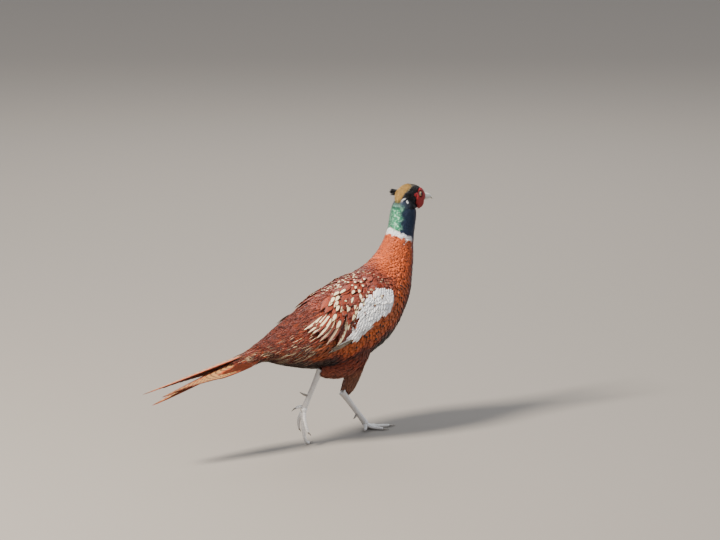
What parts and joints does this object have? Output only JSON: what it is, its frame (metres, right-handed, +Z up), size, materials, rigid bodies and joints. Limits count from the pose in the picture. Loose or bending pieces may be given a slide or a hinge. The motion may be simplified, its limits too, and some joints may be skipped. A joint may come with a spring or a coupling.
{
  "type": "cock common pheasant",
  "caption": "Still life-size common pheasant cock, walking with its head up, long tail behind and one foot forward.",
  "frame": {"origin": "on the floor, under the middle of the bird's box", "axes": "+X towards the bird's front along its body, +Y to its left, +Z up"},
  "size_m": [0.6032, 0.1338, 0.412],
  "materials": {
    "body_feathers": "soft copper and maroon feathers with dark flecks and pale spots",
    "neck_feathers": "glossy green and blue-black neck feathers over a white collar and copper ruff",
    "head_feathers": "glossy black-green face with a bronze crown",
    "bill_horn": "pale grey horn with a soft sheen",
    "eye": "wet amber eye with a black pupil",
    "wattle_skin": "bare scarlet skin with small bumps",
    "wing_feathers": "white shoulder patch over cream and chestnut streaked vanes",
    "tail_feathers": "buff vanes with black bars and copper fringes",
    "shank_feathers": "short dense orange-brown feathers",
    "leg_scales": "pale grey scaled skin",
    "claw_horn": "worn brown-grey horn"
  },
  "bodies": {
    "root": {"torso": "body_feathers", "neck": "neck_feathers", "head": "head_feathers", "ear_tuft_right": "head_feathers", "ear_tuft_left": "head_feathers", "bill_upper": "bill_horn", "bill_lower": "bill_horn", "eye_left": "eye", "eye_right": "eye", "wattle_left": "wattle_skin", "wattle_right": "wattle_skin", "wing_left": "wing_feathers", "wing_right": "wing_feathers", "tail": "tail_feathers", "shank_left": "shank_feathers", "shank_right": "shank_feathers", "tarsus_left": "leg_scales", "tarsus_right": "leg_scales", "spur_left": "claw_horn", "spur_right": "claw_horn", "foot_left": "leg_scales", "foot_right": "leg_scales", "claw_left_middle": "claw_horn", "claw_left_inner": "claw_horn", "claw_left_outer": "claw_horn", "claw_left_hind": "claw_horn", "claw_right_middle": "claw_horn", "claw_right_inner": "claw_horn", "claw_right_outer": "claw_horn", "claw_right_hind": "claw_horn"}
  },
  "joints": []
}
